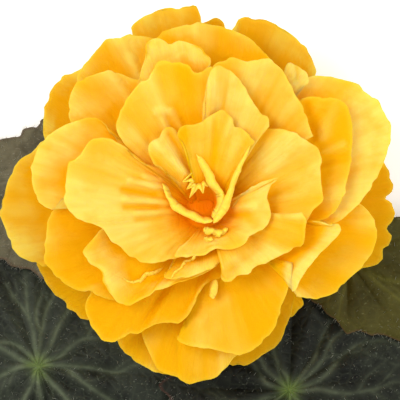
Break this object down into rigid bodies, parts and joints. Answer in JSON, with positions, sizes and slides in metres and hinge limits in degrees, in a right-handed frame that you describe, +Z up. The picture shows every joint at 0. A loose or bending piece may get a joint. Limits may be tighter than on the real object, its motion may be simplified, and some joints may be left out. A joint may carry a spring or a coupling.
{
  "type": "picked begonia bloom with leaves",
  "caption": "Picked spray of a double tuberous begonia lying face up: a ruffled golden bloom on a short cut stem over dark palmate-veined leaves.",
  "frame": {"origin": "the middle of the small flat spot under the stem, straight below the bloom's axis", "axes": "+Z up out of the bloom's heart, -Y along the stem towards its cut end, +X towards the right-hand leaves"},
  "size_m": [0.1796, 0.1563, 0.0573],
  "materials": {
    "petals": "satin",
    "stem": "satin",
    "dark_leaf": "satin",
    "olive_leaf": "satin"
  },
  "bodies": {
    "root": {"bloom": "petals", "stem": "stem", "leaf_1": "dark_leaf", "leaf_2": "dark_leaf", "leaf_3": "dark_leaf", "leaf_4": "olive_leaf"}
  },
  "joints": []
}
